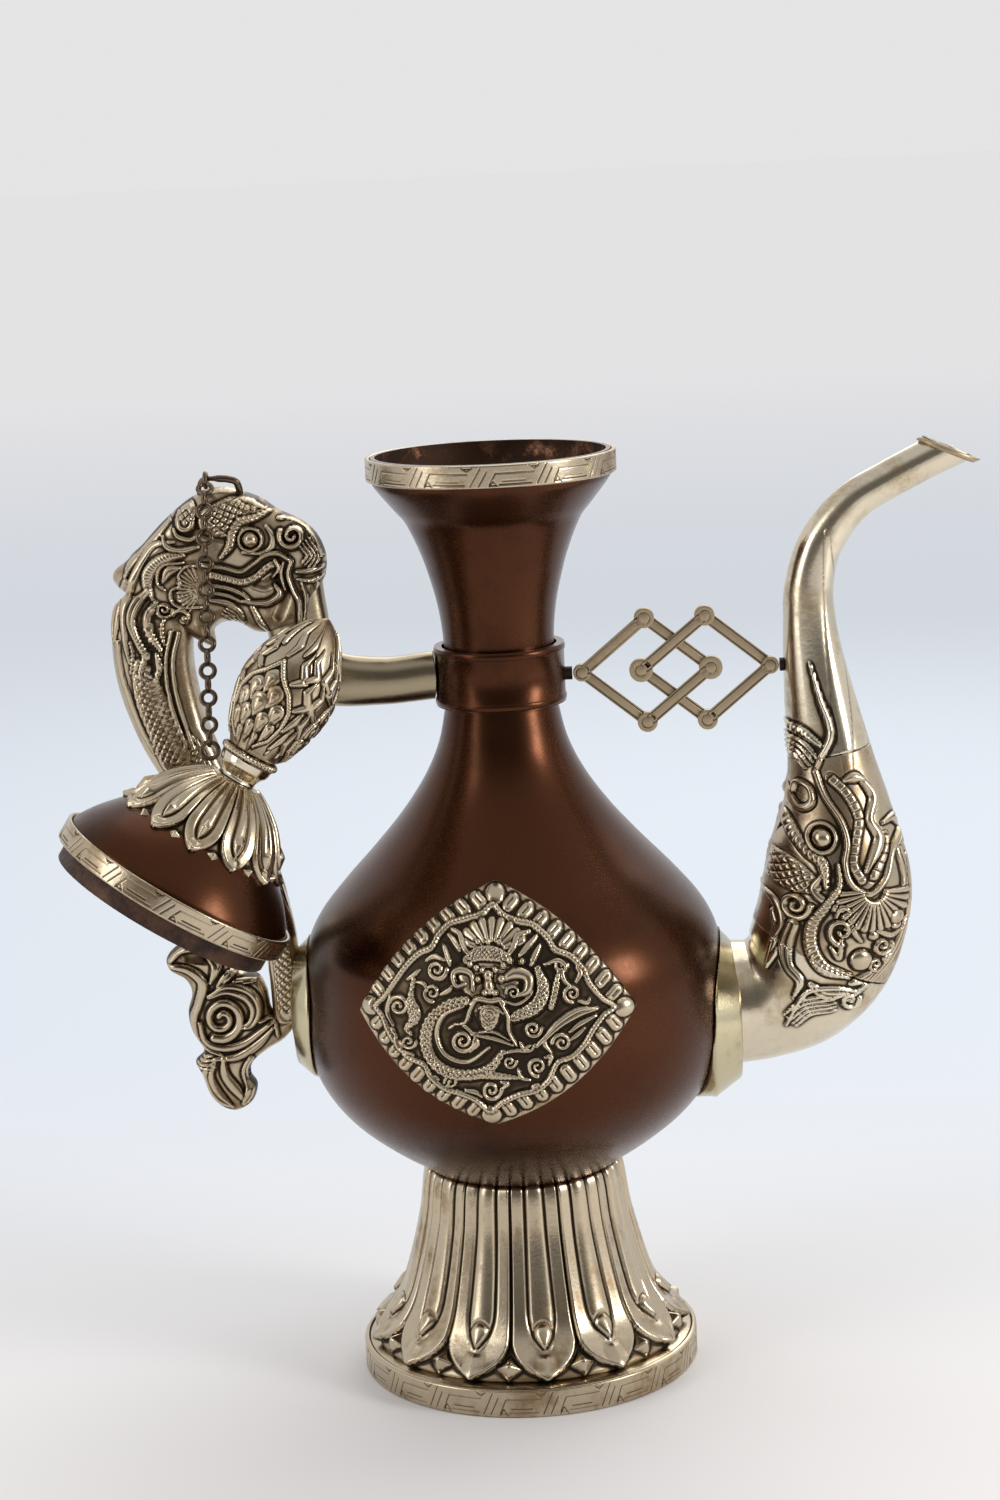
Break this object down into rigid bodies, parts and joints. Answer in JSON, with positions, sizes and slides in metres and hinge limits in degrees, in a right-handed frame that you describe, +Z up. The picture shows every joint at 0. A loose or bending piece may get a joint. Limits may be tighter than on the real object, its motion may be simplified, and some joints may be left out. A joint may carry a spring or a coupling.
{
  "type": "tibetan ewer",
  "caption": "Copper and white metal ewer with a lotus foot, a sea-monster spout, a dragon-headed handle, a pierced brace and a lid hanging from a chain.",
  "frame": {"origin": "the point on the ewer's upright axis at the underside of its foot", "axes": "+X from the axis towards the spout, +Y away from the side that carries the pictured plaque and the hanging lid, +Z up the axis; -Z is the foot's resting face"},
  "size_m": [0.3261, 0.1723, 0.3361],
  "materials": {
    "copper": "dark red-brown patinated copper, satin, with lighter copper glints",
    "white_metal": "warm grey white metal with golden tarnish and dark recesses, worn bright on the ridges",
    "gilt_brass": "dull brass, matte with a little bronze tarnish",
    "chain_metal": "oxidised dark wire with copper glints"
  },
  "bodies": {
    "vessel": {"belly": "copper", "neck": "copper", "neck_collar": "copper", "mouth_band": "white_metal", "foot_petals": "white_metal", "foot_band": "white_metal", "base_plate": "copper", "spout_flange": "white_metal", "spout_elbow": "white_metal", "spout_makara": "white_metal", "spout_tube": "white_metal", "spout_lip": "gilt_brass", "handle_flange": "white_metal", "handle_body": "white_metal", "handle_head": "white_metal", "handle_beam": "white_metal", "handle_tail": "white_metal", "front_plaque": "white_metal", "back_plaque": "white_metal", "chain_staple": "chain_metal", "brace_left": "gilt_brass", "brace_right": "gilt_brass", "brace_lug_neck": "gilt_brass", "brace_lug_spout": "gilt_brass"},
    "chain_link_01": {"chain_link_01": "chain_metal"},
    "chain_link_02": {"chain_link_02": "chain_metal"},
    "chain_link_03": {"chain_link_03": "chain_metal"},
    "chain_link_04": {"chain_link_04": "chain_metal"},
    "chain_link_05": {"chain_link_05": "chain_metal"},
    "chain_link_06": {"chain_link_06": "chain_metal"},
    "chain_link_07": {"chain_link_07": "chain_metal"},
    "chain_link_08": {"chain_link_08": "chain_metal"},
    "chain_link_09": {"chain_link_09": "chain_metal"},
    "chain_link_10": {"chain_link_10": "chain_metal"},
    "chain_link_11": {"chain_link_11": "chain_metal"},
    "chain_link_12": {"chain_link_12": "chain_metal"},
    "chain_link_13": {"chain_link_13": "chain_metal"},
    "chain_link_14": {"chain_link_14": "chain_metal"},
    "chain_link_15": {"chain_link_15": "chain_metal"},
    "chain_link_16": {"chain_link_16": "chain_metal"},
    "chain_link_17": {"chain_link_17": "chain_metal"},
    "chain_link_18": {"chain_link_18": "chain_metal"},
    "chain_link_19": {"chain_link_19": "chain_metal"},
    "chain_link_20": {"chain_link_20": "chain_metal"},
    "chain_link_21": {"chain_link_21": "chain_metal"},
    "lid": {"lid_dome": "copper", "lid_band": "white_metal", "lid_bezel": "copper", "lid_petals": "white_metal", "finial_stem": "white_metal", "finial_rope_ring": "white_metal", "finial_bud": "white_metal", "finial_pin": "gilt_brass", "lid_eye": "chain_metal"}
  },
  "joints": [
    {"name": "chain_link_01_swing", "type": "hinge", "parent": "vessel", "child": "chain_link_01", "pos_m": [-0.1002, -0.005, 0.3314], "axis": [-1, 0, 0], "range_deg": [0, 45]},
    {"name": "chain_link_02_swing", "type": "hinge", "parent": "chain_link_01", "child": "chain_link_02", "pos_m": [-0.1002, -0.00916, 0.3295], "axis": [0, 0.6243, -0.7812], "range_deg": [-2, 5]},
    {"name": "chain_link_03_swing", "type": "hinge", "parent": "chain_link_02", "child": "chain_link_03", "pos_m": [-0.1002, -0.01285, 0.32655], "axis": [-1, 0, 0], "range_deg": [0, 8]},
    {"name": "chain_link_04_swing", "type": "hinge", "parent": "chain_link_03", "child": "chain_link_04", "pos_m": [-0.1002, -0.01533, 0.32255], "axis": [0, -0.8842, 0.4671], "range_deg": [-5, 2]},
    {"name": "chain_link_05_swing", "type": "hinge", "parent": "chain_link_04", "child": "chain_link_05", "pos_m": [-0.1002, -0.01754, 0.31838], "axis": [-1, 0, 0], "range_deg": [0, 8]},
    {"name": "chain_link_06_swing", "type": "hinge", "parent": "chain_link_05", "child": "chain_link_06", "pos_m": [-0.1002, -0.01933, 0.31401], "axis": [0, 0.9329, -0.3601], "range_deg": [-2, 5]},
    {"name": "chain_link_07_swing", "type": "hinge", "parent": "chain_link_06", "child": "chain_link_07", "pos_m": [-0.1002, -0.02103, 0.30961], "axis": [-1, 0, 0], "range_deg": [0, 8]},
    {"name": "chain_link_08_swing", "type": "hinge", "parent": "chain_link_07", "child": "chain_link_08", "pos_m": [-0.1002, -0.0226, 0.30516], "axis": [0, -0.9445, 0.3285], "range_deg": [-5, 2]},
    {"name": "chain_link_09_swing", "type": "hinge", "parent": "chain_link_08", "child": "chain_link_09", "pos_m": [-0.1002, -0.02415, 0.3007], "axis": [-1, 0, 0], "range_deg": [0, 8]},
    {"name": "chain_link_10_swing", "type": "hinge", "parent": "chain_link_09", "child": "chain_link_10", "pos_m": [-0.1002, -0.02567, 0.29623], "axis": [0, 0.9476, -0.3193], "range_deg": [-2, 5]},
    {"name": "chain_link_11_swing", "type": "hinge", "parent": "chain_link_10", "child": "chain_link_11", "pos_m": [-0.1002, -0.02717, 0.29176], "axis": [-1, 0, 0], "range_deg": [0, 8]},
    {"name": "chain_link_12_swing", "type": "hinge", "parent": "chain_link_11", "child": "chain_link_12", "pos_m": [-0.1002, -0.02867, 0.28728], "axis": [0, -0.9485, 0.3167], "range_deg": [-5, 2]},
    {"name": "chain_link_13_swing", "type": "hinge", "parent": "chain_link_12", "child": "chain_link_13", "pos_m": [-0.1002, -0.03017, 0.28281], "axis": [-1, 0, 0], "range_deg": [0, 8]},
    {"name": "chain_link_14_swing", "type": "hinge", "parent": "chain_link_13", "child": "chain_link_14", "pos_m": [-0.1002, -0.03166, 0.27833], "axis": [0, 0.9488, -0.316], "range_deg": [-2, 5]},
    {"name": "chain_link_15_swing", "type": "hinge", "parent": "chain_link_14", "child": "chain_link_15", "pos_m": [-0.1002, -0.03315, 0.27385], "axis": [-1, 0, 0], "range_deg": [0, 8]},
    {"name": "chain_link_16_swing", "type": "hinge", "parent": "chain_link_15", "child": "chain_link_16", "pos_m": [-0.1002, -0.03464, 0.26937], "axis": [0, -0.9488, 0.3157], "range_deg": [-5, 2]},
    {"name": "chain_link_17_swing", "type": "hinge", "parent": "chain_link_16", "child": "chain_link_17", "pos_m": [-0.1002, -0.03613, 0.26489], "axis": [-1, 0, 0], "range_deg": [0, 8]},
    {"name": "chain_link_18_swing", "type": "hinge", "parent": "chain_link_17", "child": "chain_link_18", "pos_m": [-0.1002, -0.03762, 0.26041], "axis": [0, 0.9489, -0.3157], "range_deg": [-2, 5]},
    {"name": "chain_link_19_swing", "type": "hinge", "parent": "chain_link_18", "child": "chain_link_19", "pos_m": [-0.1002, -0.03911, 0.25594], "axis": [-1, 0, 0], "range_deg": [0, 8]},
    {"name": "chain_link_20_swing", "type": "hinge", "parent": "chain_link_19", "child": "chain_link_20", "pos_m": [-0.1002, -0.0406, 0.25146], "axis": [0, -0.9489, 0.3157], "range_deg": [-5, 2]},
    {"name": "chain_link_21_swing", "type": "hinge", "parent": "chain_link_20", "child": "chain_link_21", "pos_m": [-0.1002, -0.04209, 0.24698], "axis": [-1, 0, 0], "range_deg": [0, 8]},
    {"name": "lid_swing", "type": "hinge", "parent": "chain_link_21", "child": "lid", "pos_m": [-0.1002, -0.04358, 0.2425], "axis": [0, 0.9489, -0.3157], "range_deg": [-10, 14]}
  ]
}
